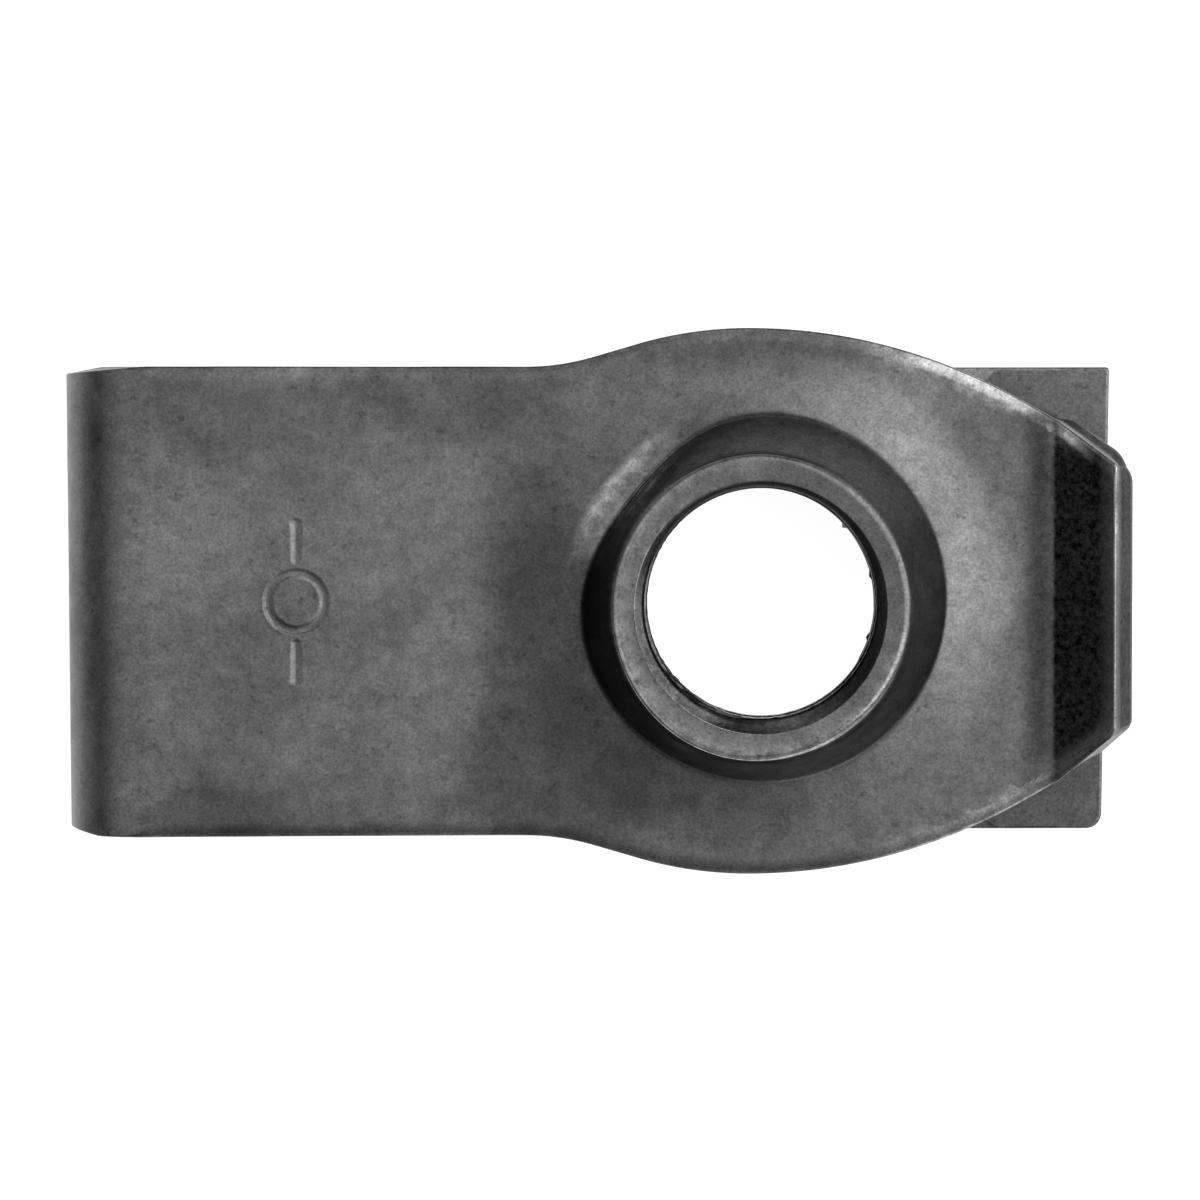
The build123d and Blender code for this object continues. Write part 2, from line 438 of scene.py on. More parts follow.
def add_patch(grid, closed=False, shine=0.0, shading_and_coat=0.0):
    """Adds a grid of points, rows by columns by 3, joined in quads, and closed if its last column meets
    its first. shine says how much brighter each node is painted, with painted highlights and wear, and
    the last argument how much darker, with painted shade and a darker coat."""
    rows, cols = grid.shape[:2]
    start = sum(len(p) for p in points)
    index = start + np.arange(rows * cols).reshape(rows, cols)
    if closed:
        index = np.concatenate([index, index[:, :1]], 1)
    corners = [index[:-1, :-1], index[:-1, 1:], index[1:, 1:], index[1:, :-1]]
    quads.append(np.stack(corners, -1).reshape(-1, 4))
    points.append(grid.reshape(-1, 3))
    polish.append((np.zeros((rows, cols)) + shine).reshape(-1))
    struck.append((np.zeros((rows, cols)) + shading_and_coat).reshape(-1))


def border(first, last):
    """Indices of the nodes round the block between two columns, anticlockwise from outside."""
    along = np.arange(first, last + 1)
    across = np.arange(ROW_COUNT + 1)
    i = [along, 0 * across[1:-1] + last, along[::-1], 0 * across[1:-1] + first]
    j = [0 * along + ROW_COUNT, across[-2:0:-1], 0 * along, across[1:-1]]
    return np.concatenate(i), np.concatenate(j)


LIP_HIGHLIGHT_S = S_LIP + 0.5  # on the lip's +Y side, where a painted highlight lies


def lip_dark_and_shade(s, v):
    """How much darker the lip and its bend are painted: painted shade on the easy bend, less on the
    ridge before the crease, and a black lip, partly a darker coat and partly painted shade, less so
    near its two sides and its end, and lighter where its +Y side has a painted highlight."""
    bend_shade, past_bend = 0.65, 1.3  # the painted shade's strength on the bend, and its wave's length in bends
    marked = bend_shade * np.sin(pi * ramp(s, S_LEAD, S_CREASE) / past_bend) ** 2
    crease = ramp(s, S_CREASE - 0.05, S_LIP - 0.05)
    end = np.maximum(ramp(s, S_END, S_END - 0.6), 0.1)
    inside = CREASE_HALF - taper(s) - np.abs(v)
    least_minus, least_plus = 0.25, 0.7  # darkening left at the very sides
    on_minus = np.maximum(ramp(inside, 0.3, 0.9), least_minus)
    on_plus = np.maximum(ramp(inside, 0, 0.4), least_plus)
    side = np.where(v < 0, on_minus, on_plus)
    side = np.where(s < S_CREASE, ramp(side, least_minus, 1), side)
    lip_highlight = bell(s, LIP_HIGHLIGHT_S, 0.45) * ramp(inside, 0.7, 0) * (v > 0)
    return (marked + (1 - marked) * crease * end) * side * (1 - 0.9 * lip_highlight)


def leg_painted_shade(s, v):
    """Painted shade: a faint darkening of the lower leg's inner face under the upper leg, near its free
    end, more so towards -Y.
    """
    return (0.1 + 0.22 * ramp(v, 0, -4)) * ramp(s, 6, 4)


# ---------------------------------------------------------------- blanked edge all round

ROLL_RINGS, WALL_RINGS = 7, 7
edge = border(0, LAST)


def edge_ring(inner, outer, share, w):
    """A ring of the edge's section, share of the way from one skin's border to another's."""
    s0, v0 = (a[edge] for a in inner)
    s1, v1 = (a[edge] for a in outer)
    return folded(s0 + (s1 - s0) * share, v0 + (v1 - v0) * share, w)


def edge_section():
    """The edge's section, carried round the outline: an arc rolled over from the outer face
    and flattened, a straight wall, and a sharp break on the inner face. The arc stops a little
    short of the wall's first ring, which leaves a crisp corner. A narrow roll is shallower."""
    arc_width, arc_fall = 0.985, 0.8  # shares of the roll's width and depth that the arc covers
    s_edge, v_edge = (a[edge] for a in OUTER_EDGE)
    s_skin, v_skin = (a[edge] for a in OUTER_SKIN)
    width = np.hypot(s_edge - s_skin, v_edge - v_skin)
    depth = ROLL_DEPTH * (0.4 + 0.6 * ramp(width, 0, ROLL_WIDTH))
    rings = []
    for a in np.linspace(0, ROLL_TURN, ROLL_RINGS):
        share = arc_width * sin(a) / sin(ROLL_TURN)
        fall = arc_fall * (1 - cos(a)) / (1 - cos(ROLL_TURN))
        rings.append(edge_ring(OUTER_SKIN, OUTER_EDGE, share, depth * fall))
    for share in np.linspace(0, 1, WALL_RINGS):
        w = depth + (SHEET - BREAK_DEPTH - depth) * share
        rings.append(edge_ring(OUTER_EDGE, INNER_EDGE, share, w))
    rings.append(edge_ring(INNER_EDGE, INNER_SKIN, 1, SHEET))
    return np.stack(rings)


def edge_finish(shape):
    """How bright and how dark each ring of the edge's section is painted, round the outline. The corner
    between roll and wall carries a painted highlight, above all beside the lip, and so does the lower
    leg's inner edge. The lip's end has two painted glints. The wall has painted shade, except on the
    lip's -Y side, and the lip's own darkening, partly a darker coat and partly painted shade, runs over
    onto the roll."""
    rolled = slice(0, ROLL_RINGS)
    corner = slice(ROLL_RINGS - 2, ROLL_RINGS + 1)
    wall = slice(ROLL_RINGS + 2, -2)
    broken = slice(-2, None)
    s, v = (a[edge] for a in OUTER_EDGE)
    on_end = s > S_END - 0.05
    on_lip_side = (s > S_CREASE) & (s < S_END - 0.05)

    beside_lip = (s > S_ARM) * (s < S_CREASE) * ramp(outer_line(s)[0], 3, 5)
    past_crease = (v > 0) * bell(s, LIP_HIGHLIGHT_S, 0.5)
    end_glints = bell(v, 2.2, 0.5) + bell(v, 3.9, 0.35)
    shine = np.zeros(shape)
    shine[corner] = np.where(on_end, 1.1 + 1.6 * end_glints, 0.9)
    shine[rolled] += np.where(v > 0, 2.0, 1.9) * beside_lip
    shine[rolled] += 2.4 * past_crease
    shine[broken] = np.where(s < S_FOLD, 0.8, 0.3)
    shine[broken, s < 0.25] = 0

    shading_and_coat = np.zeros(shape)
    skin_s, skin_v = (a[edge] for a in OUTER_SKIN)
    shading_and_coat[: ROLL_RINGS - 2] = lip_dark_and_shade(skin_s, skin_v) * (1 - 0.9 * past_crease)
    # painted shade on the edge's wall, lighter on the lip's -Y side
    shading_and_coat[wall] = 0.5
    shading_and_coat[wall, on_lip_side & (v > 0)] = 0.62
    shading_and_coat[wall, on_lip_side & (v < 0)] = 0.12
    return shine, shading_and_coat


def blanked_edge():
    """The band that joins the strip's two faces all round its outline."""
    section = edge_section()
    shine, shading_and_coat = edge_finish(section.shape[:2])
    add_patch(section, closed=True, shine=shine, shading_and_coat=shading_and_coat)


blanked_edge()

# ---------------------------------------------------------------- plain stretches

for first, last in [
    (0, HOLE_START),
    (HOLE_END, MARK_START),
    (MARK_END, PAD_START),
    (PAD_END, LAST),
]:
    s, v = (a[first : last + 1] for a in OUTER_SKIN)
    add_patch(folded(s, v, 0.0), shading_and_coat=lip_dark_and_shade(s, v))
for first, last in [(0, HOLE_START), (HOLE_END, PAD_START), (PAD_END, LAST)]:
    s, v = (a[first : last + 1] for a in INNER_SKIN)
    add_patch(folded(s, v, SHEET), shading_and_coat=leg_painted_shade(s, v))

# ---------------------------------------------------------------- clearance hole


def clearance_hole():
    """Rings between the block's border and the hole: each is a share of the way from the
    border node to the circle's point at the same angle, and the section then goes down the
    hole's wall with a small break at each face."""
    outer_break, inner_break = 0.1, 0.04
    where = border(HOLE_START, HOLE_END)
    rings, ring_shades = [], []
    s, v = (a[where] for a in OUTER_SKIN)
    angle = np.arctan2(v, s - LOWER_REACH)

    def circle(radius):
        """Blank coordinates of a circle round the hole, at the border nodes' angles."""
        return LOWER_REACH + radius * np.cos(angle), radius * np.sin(angle)

    def spread(skin, radius, w, shares):
        """Adds rings at the given shares of the way from a skin's border to a circle."""
        s, v = (a[where] for a in skin)
        to_s, to_v = circle(radius)
        for share in shares:
            place = s + (to_s - s) * share, v + (to_v - v) * share
            rings.append(folded(*place, w))
            ring_shades.append(leg_painted_shade(*place) * (w > 0))

    shares = 1 - (1 - np.linspace(0, 1, 11)) ** 1.5
    spread(OUTER_SKIN, CLEARANCE_RADIUS + outer_break, 0.0, shares)
    for a in np.linspace(0, pi / 2, 5)[1:]:
        radius = CLEARANCE_RADIUS + outer_break * (1 - sin(a))
        rings.append(folded(*circle(radius), outer_break * (1 - cos(a))))
    for w in np.linspace(outer_break, SHEET - inner_break, 4)[1:]:
        rings.append(folded(*circle(CLEARANCE_RADIUS), w))
    ring_shades += [0 * s] * (len(rings) - len(ring_shades))
    spread(INNER_SKIN, CLEARANCE_RADIUS + inner_break, SHEET, shares[::-1])
    add_patch(np.stack(rings), closed=True, shading_and_coat=np.stack(ring_shades))


clearance_hole()

# ---------------------------------------------------------------- stamped mark


def stamped_mark():
    """A plain die mark, a ring with a short bar on each side, struck into the arm. Rings run
    from the block's border to a pole, and each node goes down by the depth of the stroke that
    it lies in, which falls off smoothly over the stroke's shoulder to a faint raised lip. The
    die leaned, so that the mark is deeper towards -Y and towards the fold."""
    ring_radius, bar_from, bar_to = 0.85, 1.25, 2.35
    stroke, shoulder, depth = 0.06, 0.09, 0.035
    raised, raised_width = 0.004, 0.06
    lean_y, lean_x = 0.3, 0.15
    fine_from, fine_to = 2.6, 0.6  # radii between which the rings are closest
    where = border(MARK_START, MARK_END)
    s, v = (a[where] for a in OUTER_SKIN)
    middle = arm_s(MARK_X)
    angle = np.arctan2(v, s - middle)
    close = np.linspace(fine_from, fine_to, 52)
    radii = np.concatenate([close, np.linspace(fine_to, 0, 6)[1:-1]])
    shares = np.linspace(0, 1, 9)[:-1]
    grid_s = [s + (middle + fine_from * np.cos(angle) - s) * t for t in shares]
    grid_v = [v + (fine_from * np.sin(angle) - v) * t for t in shares]
    grid_s += [middle + r * np.cos(angle) for r in radii]
    grid_v += [r * np.sin(angle) for r in radii]
    grid_s, grid_v = np.stack(grid_s), np.stack(grid_v)
    x, y = grid_s - middle, grid_v
    off_ring = np.abs(np.hypot(x, y) - ring_radius)
    off_bar = np.hypot(x, np.abs(y) - np.clip(np.abs(y), bar_from, bar_to))
    off = np.minimum(off_ring, off_bar)
    t = ramp(off, stroke, stroke + shoulder)
    tilted = 1 - lean_y * y / bar_to - lean_x * x / ring_radius
    sunk = depth * tilted * (1 - t * t * (3 - 2 * t))
    lip = raised * bell(off, stroke + shoulder, raised_width)
    add_patch(folded(grid_s, grid_v, sunk - lip), closed=True)
    pole = np.repeat(folded(np.array([middle]), np.array([0.0]), 0.0), len(s), 0)
    last_ring = folded(grid_s[-1], grid_v[-1], 0.0)
    add_patch(np.stack([last_ring, pole]), closed=True)


stamped_mark()

# ---------------------------------------------------------------- drawn and tapped barrel


def dished(radius, inner, rise):
    """Height of a dished skin at a radius: it rises from 0 at the dome's edge to rise at the
    radius inner, as a power of the distance from the edge."""
    return rise * ramp(radius, DOME_RADIUS, inner) ** DOME_POWER


def rounded_profile(corners, step):
    """A section through corners (radius, height, rounding), each replaced by an arc that
    touches both of its sides, and the straights between divided into steps."""
    arc_step = radians(9)
    c = np.array(corners)
    here = c[:, :2]
    lengths = np.hypot(*np.diff(here, axis=0).T)
    ways = np.diff(here, axis=0) / lengths[:, None]
    out = [here[:1]]

    def straight(end):
        """Adds steps from the section's last point to end."""
        start = out[-1][-1]
        count = max(1, int(np.ceil(np.hypot(*(end - start)) / step)))
        out.append(start + (end - start) * np.linspace(0, 1, count + 1)[1:, None])

    for k in range(1, len(c) - 1):
        before, after = ways[k - 1], ways[k]
        turn = np.arccos(np.clip(before @ after, -1, 1))
        straight(here[k] - before * c[k, 2] * tan(turn / 2))
        if c[k, 2] > 0:
            t = np.linspace(0, 1, max(2, int(np.ceil(turn / arc_step))) + 1)[1:, None]
            swing = turn * (t - 0.5)
            outward = (before - after) / np.hypot(*(before - after))
            along = (before + after) / np.hypot(*(before + after))
            centre = here[k] - outward * c[k, 2] / cos(turn / 2)
            out.append(centre + c[k, 2] * (outward * np.cos(swing) + along * np.sin(swing)))
    straight(here[-1])
    return np.concatenate(out)


def barrel_section():
    """The barrel's section in radius and height, from the turned part's edge up the dome, over
    the rim and down the bore to the dished underside; and how many of its nodes come before
    the bore."""
    step = 0.14
    clear_of_root, clear_of_entry = 0.22, 0.62  # room for the roundings there
    bore_top = (BORE_RADIUS, RIM_TOP - MOUTH_DEPTH, 0)
    climb = [
        (r, PAD_TOP + dished(r, ROOT_RADIUS, DOME_HEIGHT), 0)
        for r in np.linspace(TURNED_RADIUS, ROOT_RADIUS + clear_of_root, 17)
    ]
    over = [
        (ROOT_RADIUS, ROOT_TOP, ROOT_FILLET),
        (RIM_RADIUS, RIM_TOP, RIM_ROUND),
        (MOUTH_RADIUS, RIM_TOP - MOUTH_DROP, MOUTH_ROUND),
        bore_top,
    ]
    outer_part = rounded_profile(climb + over, step)
    entry = (BORE_RADIUS, PAD_UNDER + ENTRY_RISE, ENTRY_ROUND)
    under = [
        (r, PAD_UNDER + dished(r, BORE_RADIUS, ENTRY_RISE), 0)
        for r in np.linspace(BORE_RADIUS + clear_of_entry, TURNED_RADIUS, 18)
    ]
    inner_part = rounded_profile([bore_top, entry] + under, step)

    # the bore's wall takes closer nodes, for the thread
    wall_end = PAD_UNDER + ENTRY_RISE + 0.5
    wall = np.linspace(RIM_TOP - MOUTH_DEPTH, wall_end, 66)[1:]
    below = inner_part[inner_part[:, 1] < wall_end - 0.01]
    bore = np.stack([0 * wall + BORE_RADIUS, wall], -1)
    return np.concatenate([outer_part, bore, below]), len(outer_part)


def thread_groove(angle, z):
    """Radius of the tapped groove: a V with a 60 degree angle and a flat root an eighth of the
    pitch wide, wound round the axis so that it climbs one pitch a turn, right-handed. It runs
    out at the foot of the mouth's bevel."""
    run_out, above = 0.3, 0.1
    phase = (z / THREAD_PITCH - angle / 2 / pi) % 1
    off = np.abs(phase - 0.5) * THREAD_PITCH
    radius = THREAD_RADIUS - np.clip(off - THREAD_PITCH / 16, 0, None) / tan(radians(30))
    end = RIM_TOP - MOUTH_DEPTH + above
    return BORE_RADIUS + (radius - BORE_RADIUS) * ramp(z, end, end - run_out)


def ripple(spot, wavelength, seed):
    """Gentle unevenness of hammered sheet, from -1 to 0: waves in fixed random directions."""
    wave_count, gain = 7, 1.2
    rng = np.random.default_rng(seed)
    ways = rng.normal(size=(wave_count, 3))
    ways /= np.linalg.norm(ways, axis=1)[:, None]
    phase = rng.uniform(0, 2 * pi, wave_count)
    waves = np.sin(spot @ ways.T * 2 * pi / wavelength + phase)
    return np.clip(waves.mean(1) * gain, -1, 1) / 2 - 0.5


def angle_off(angle, way):
    """Angle between each direction and way, from 0 to pi."""
    return np.abs((angle - way + pi) % (2 * pi) - pi)


def facing(turned, way, power=1):
    """How squarely each direction faces a way: the cosine between them, or 0 past side on,
    raised to a power."""
    return np.clip(turned @ np.array(way), 0, 1) ** power


def tapped_bore(radius, height, angle, turned, tapped):
    """Sweeps the section round the axis, with the thread's groove cut into the tapped nodes,
    burrs standing in from the bottom of the bore, and the wall torn unevenly, most of all
    towards -Y."""
    radius = np.where(tapped, np.maximum(radius, thread_groove(angle[None, :], height)), radius)
    low = bell(height, BURR_LEVEL, BURR_TALL) * tapped
    for way, size in BURRS:
        radius = radius - size * low * ramp(angle_off(angle, way), BURR_HALF, 0)
    swept = np.stack([radius * turned[:, 0], radius * turned[:, 1], height], -1)
    down = ramp(height, RIM_TOP - 0.15, RIM_TOP - 0.45) * ramp(height, PAD_UNDER + 0.6, PAD_UNDER + 1.6)
    torn = down * tapped * np.clip(0.4 - 0.6 * turned[:, 1] - 0.3 * turned[:, 0], 0, 1)
    rough = ripple(swept.reshape(-1, 3), 0.24, 8).reshape(radius.shape) + 0.5
    swept[..., :2] += (TEAR * rough * torn)[..., None] * turned
    return radius, swept


def section_fades(profile, outer_count):
    """How far each node of the section shares the root's shift, the rim's shift and the rim's
    swelling. The root's grows up the dome and fades out up the barrel's wall. The rim's grows
    up that wall and fades out down the mouth. The swelling is greatest at the rim's outer edge,
    less on the wall under it and nil at the mouth."""
    radius, height = profile.T
    up_wall = ramp(height, ROOT_TOP, RIM_UNDER)
    root = np.minimum(ramp(radius, DOME_RADIUS, ROOT_RADIUS), 1 - up_wall)
    root[np.argmax(height) :] = 0
    rim = up_wall * ramp(radius, BORE_RADIUS, MOUTH_RADIUS - 0.05)
    rim[outer_count:] = 0
    swollen = rim * ramp(radius, RIM_RADIUS - 0.5, RIM_RADIUS - 0.1)
    swollen = swollen * (0.45 + 0.55 * ramp(height, RIM_TOP - 0.2, RIM_TOP))
    return root, rim, swollen


def barrel_finish(radius, height, turned, outside):
    """How bright and how dark each node of the barrel is painted. Brighter: the rim's outer edge,
    partly burnished and partly a painted highlight that is stronger towards -Y, a painted highlight
    beside its mouth on the ridge's side, its flat, brighter towards -Y with a painted highlight, a
    painted highlight on the drawn slope on the ridge's side, and a painted highlight on the mouth's
    bevel towards -Y. Darker: painted shade on the drawn wall, more on some sides and just under the
    rim, on the rim's two edges on some sides, and on the bevel on the sides away from that highlight."""

    def band(centre, width):
        """1 round the barrel at the radius centre, fading to both sides."""
        return bell(radius, centre, width)

    plus_y, minus_y, minus_x = (facing(turned, way) for way in (PLUS_Y, MINUS_Y, MINUS_X))
    dim_side, ridge_side = facing(turned, DIM_RIM_WAY), facing(turned, RIDGE_WAY, 6)
    bevel_lit, bevel_shaded = facing(turned, BEVEL_LIT_WAY, 6), facing(turned, BEVEL_SHADE_WAY, 3)
    # torn: the side on which the mouth and its bevel get painted shade
    torn = facing(turned, MOUTH_SHADE_WAY, 2)
    on_rim = outside * (height > RIM_TOP - 0.2)
    bevel = (radius < MOUTH_RADIUS + 0.01) * (height > PAD_UNDER + ENTRY_RISE)

    # the rim's outer edge: partly burnished, partly a painted highlight, stronger towards -Y and weaker
    # on the dim side
    crown = band(RIM_RADIUS - 0.12 + 0.07 * minus_y, 0.12 + 0.04 * minus_y) * on_rim
    mouth_highlight = band(MOUTH_RADIUS + 0.02, 0.08) * ridge_side * on_rim
    rim_flat = (radius > MOUTH_RADIUS - 0.03) * on_rim
    # painted highlight on the drawn slope on the ridge's side
    ridge_highlight = ramp(radius, ROOT_RADIUS + 0.76, ROOT_RADIUS + 0.54) * (height < RIM_TOP - 0.4)
    ridge_highlight = ridge_highlight * ridge_side**3 * (1 - 0.5 * band(ROOT_RADIUS + 0.2, 0.2)) * outside
    crown_shine = 1.1 * (1 + 2.6 * minus_y - 0.95 * dim_side)
    line_shine, ridge_highlight_shine = 1.2, 3.7
    rim_flat_shine = 0.25 + 0.35 * minus_y
    bevel_shine = 0.2 + 3.2 * bevel_lit
    shine = crown_shine * crown + line_shine * mouth_highlight + rim_flat_shine * rim_flat
    shine = shine + ridge_highlight_shine * ridge_highlight + bevel_shine * bevel

    # painted shade on the drawn wall, more on some sides and just under the rim
    wall = ramp(radius, ROOT_RADIUS + 0.25, ROOT_RADIUS - 0.05)
    wall = wall * ramp(height, RIM_TOP - 0.1, RIM_TOP - 0.25) * outside
    under_rim = bell(height, RIM_TOP - 0.3, 0.2)
    wall_shade = 0.56 - 0.5 * minus_y - 0.26 * dim_side + 0.45 * minus_y * under_rim
    wall_shade = wall_shade * (1 - ridge_side)
    # painted shade on the rim's edges on some sides
    rim_shade = 0.3 * dim_side * band(RIM_RADIUS - 0.08, 0.1)
    rim_shade = rim_shade + 0.45 * torn * band(MOUTH_RADIUS + 0.05, 0.1)
    rim_shade = rim_shade + 0.35 * minus_x * band(MOUTH_RADIUS + 0.02, 0.05)
    # painted shade on the bevel on the sides away from its painted highlight
    bevel_shade = 0.1 + 0.2 * plus_y + 0.7 * bevel_shaded + 0.72 * torn
    return shine, np.where(bevel, bevel_shade, wall_shade * wall + rim_shade * on_rim)


def barrel():
    """The barrel's section turned about the thread's axis, joined to the pad's two faces by
    rings that go from the block's border to a circle. Both ends lie on the dished skins. The
    root and the rim are then shifted sideways, each by its own fade over the section, and the
    ridge is raised."""
    where = border(PAD_START, PAD_END)

    def pad_border(skin, w):
        """x and y of the block's border on one skin."""
        s, v = (a[where] for a in skin)
        return folded(s, v, w)[:, :2]

    x, y = pad_border(OUTER_SKIN, 0.0).T
    angle = np.arctan2(y, x)
    turned = np.stack([np.cos(angle), np.sin(angle)], -1)

    def spread(skin, w, level, inner, rise):
        """Rings from the block's border to the turned part's circle, on the dished skin."""
        from_border = pad_border(skin, w)
        out = []
        for share in np.linspace(0, 1, 9):
            flat = from_border * (1 - share) + TURNED_RADIUS * turned * share
            height = level + dished(np.hypot(*flat.T), inner, rise)
            out.append(np.concatenate([flat, height[:, None]], -1))
        return np.stack(out)

    profile, outer_count = barrel_section()
    node = np.arange(len(profile))[:, None]
    radius = np.repeat(profile[:, :1], len(angle), 1)
    height = np.repeat(profile[:, 1:], len(angle), 1)
    radius, swept = tapped_bore(radius, height, angle, turned, node >= outer_count - 4)

    ridge_side = facing(turned, RIDGE_WAY, 6)
    ridge = RIDGE_HEIGHT * bell(radius, RIDGE_RADIUS, RIDGE_WIDTH)
    rings = RINGS_HEIGHT * bell(radius, RINGS_RADIUS, RINGS_WIDTH)
    rings = rings * np.sin(2 * pi * radius / RINGS_PITCH)
    swept[..., 2] += (ridge + rings) * (height > PAD_TOP) * ridge_side

    root_moved = ROOT_SHIFT - ROOT_PULL * ridge_side[:, None] * turned
    root_fade, rim_fade, swollen = section_fades(profile, outer_count)
    swept[..., :2] += root_fade[:, None, None] * root_moved
    swept[..., :2] += rim_fade[:, None, None] * RIM_SHIFT
    for way, size, wide in SWELLS:
        swell = size * bell(angle_off(angle, way), 0, wide)
        swept[..., :2] += (swollen[:, None] * swell)[..., None] * turned

    top = spread(OUTER_SKIN, 0.0, PAD_TOP, ROOT_RADIUS, DOME_HEIGHT)
    up_dome = ramp(np.hypot(top[..., 0], top[..., 1]), DOME_RADIUS, ROOT_RADIUS)
    top[..., :2] += up_dome[..., None] * root_moved
    bottom = spread(INNER_SKIN, SHEET, PAD_UNDER, BORE_RADIUS, ENTRY_RISE)[::-1]
    grid = np.concatenate([top[:-1], swept, bottom[1:]])

    plain = np.zeros((len(top) - 1, len(angle)))
    shine, shading_and_coat = (
        np.concatenate([plain, values, plain])
        for values in barrel_finish(radius, height, turned, node < outer_count - 2)
    )
    add_patch(grid, closed=True, shine=shine, shading_and_coat=shading_and_coat)


barrel()

# ---------------------------------------------------------------- the finished mesh


def marked(spots, marks):
    """Sum of the marks over each spot: each is its strength times a bell in x and one in y."""
    x, y = spots[:, 0], spots[:, 1]
    return sum(
        strength * bell(x, middle_x, wide) * bell(y, middle_y, tall)
        for middle_x, middle_y, wide, tall, strength in marks
    )


def joined_patches():
    """The patches as one closed mesh, with every face pointing out of the metal, and with how
    bright and how dark each node is as attributes."""
    mesh = bpy.data.meshes.new("folded_nut")
    mesh.from_pydata(np.concatenate(points) * MM, [], np.concatenate(quads).tolist())
    for name, values in (("polish", polish), ("struck", struck)):
        attribute = mesh.attributes.new(name, "FLOAT", "POINT")
        attribute.data.foreach_set("value", np.concatenate(values))
    shell = bmesh.new()
    shell.from_mesh(mesh)
    bmesh.ops.remove_doubles(shell, verts=shell.verts, dist=0.001 * MM)
    bmesh.ops.dissolve_degenerate(shell, dist=0.0005 * MM, edges=shell.edges)
    bmesh.ops.recalc_face_normals(shell, faces=shell.faces)
    shell.to_mesh(mesh)
    shell.free()
    return mesh


def finished_nut():
    """Lets the skin in along its normals, by one or two hundredths of a millimetre where the sheet is
    uneven, and gives each node its share of the painted darker places and of the painted highlights and
    worn places."""
    mesh = joined_patches()
    count = len(mesh.vertices)
    spots, normals = np.empty(count * 3), np.empty(count * 3)
    mesh.vertices.foreach_get("co", spots)
    mesh.vertices.foreach_get("normal", normals)
    spots = spots.reshape(-1, 3) / MM
    uneven = 0.012 * ripple(spots, 6.0, 3) + 0.004 * ripple(spots, 1.7, 5)
    spots += normals.reshape(-1, 3) * uneven[:, None]
    mesh.vertices.foreach_set("co", (spots * MM).reshape(-1))

    bright = np.empty(count)
    mesh.attributes["polish"].data.foreach_get("value", bright)
    # painted highlights and rubbed places, on the upper leg only
    bright += marked(spots, HIGHLIGHTS_AND_WEAR) * (spots[:, 2] > PAD_UNDER)
    mesh.attributes["polish"].data.foreach_set("value", bright)
    stain = marked(spots, DARKER_PLACES) * (spots[:, 2] > FOLD_RADIUS)
    mesh.attributes.new("stain", "FLOAT", "POINT").data.foreach_set("value", stain)
    mesh.polygons.foreach_set("use_smooth", np.ones(len(mesh.polygons), bool))
    mesh.update()

    nut = bpy.data.objects.new("folded_nut", mesh)
    bpy.context.scene.collection.objects.link(nut)
    even_shading = nut.modifiers.new("flat_faces_shade_flat", "WEIGHTED_NORMAL")
    even_shading.weight = 50
    return nut


nut = finished_nut()

# ---------------------------------------------------------------- black phosphate finish


